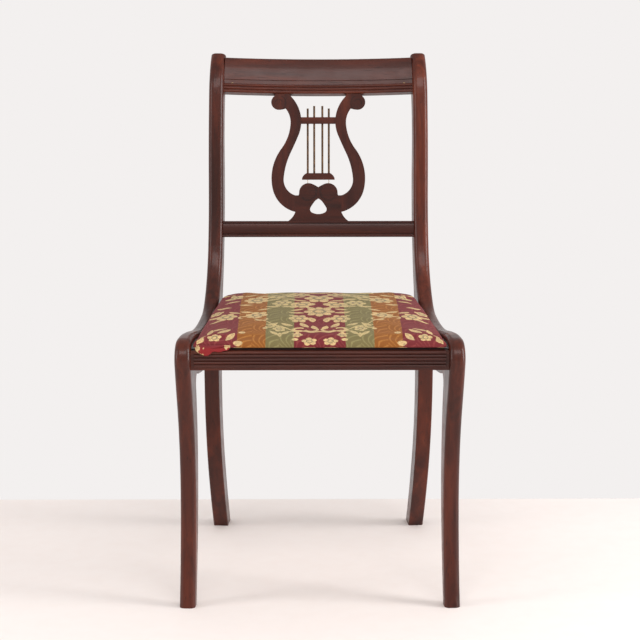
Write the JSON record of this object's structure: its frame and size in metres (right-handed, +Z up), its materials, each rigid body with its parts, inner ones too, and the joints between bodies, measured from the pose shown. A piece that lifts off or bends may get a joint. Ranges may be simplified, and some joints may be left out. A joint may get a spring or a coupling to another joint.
{
  "type": "lyre back chair",
  "caption": "Side chair with sabre legs, a lyre in the open back between a bowed crest rail and a lower rail, and a padded loose seat set between the side rails.",
  "frame": {"origin": "on the floor, midway between the outer sides and between the front of the knees and the heels of the back legs", "axes": "+Z up, +X towards the right of someone who looks at the front of the chair, and -Y towards that viewer"},
  "size_m": [0.4674, 0.5478, 0.862],
  "materials": {
    "polished_wood": "polished dark mahogany",
    "plain_wood": "unfinished",
    "brass": "polished",
    "screw_steel": "plain",
    "padding": "cotton wadding",
    "seat_cloth": "striped floral damask"
  },
  "bodies": {
    "frame": {"left_front_leg": "polished_wood", "right_front_leg": "polished_wood", "left_side_rail": "polished_wood", "right_side_rail": "polished_wood", "left_upright": "polished_wood", "right_upright": "polished_wood", "front_rail": "polished_wood", "back_rail": "polished_wood", "lower_rail": "polished_wood", "crest_rail": "polished_wood", "lyre_left_arm": "polished_wood", "lyre_right_arm": "polished_wood", "lyre_base": "polished_wood", "lyre_bridge": "polished_wood", "lyre_crossbar": "polished_wood", "corner_block_front_left": "plain_wood", "corner_block_front_right": "plain_wood", "corner_block_back_left": "plain_wood", "corner_block_back_right": "plain_wood", "front_rail_dowels": "plain_wood", "back_rail_dowels": "plain_wood", "crest_rail_dowels": "plain_wood", "lower_rail_dowels": "plain_wood", "left_side_rail_dowels": "plain_wood", "right_side_rail_dowels": "plain_wood", "lyre_dowels": "plain_wood", "lyre_string_1": "brass", "lyre_string_2": "brass", "lyre_string_3": "brass", "lyre_string_4": "brass", "lyre_bridge_pins": "brass", "corner_block_screws": "screw_steel"},
    "seat": {"seat_board": "plain_wood", "seat_padding": "padding", "seat_cover": "seat_cloth"}
  },
  "joints": [
    {"name": "seat_lift", "type": "slide", "parent": "frame", "child": "seat", "axis": [0, 0, 1], "range_m": [0, 0.1]}
  ]
}
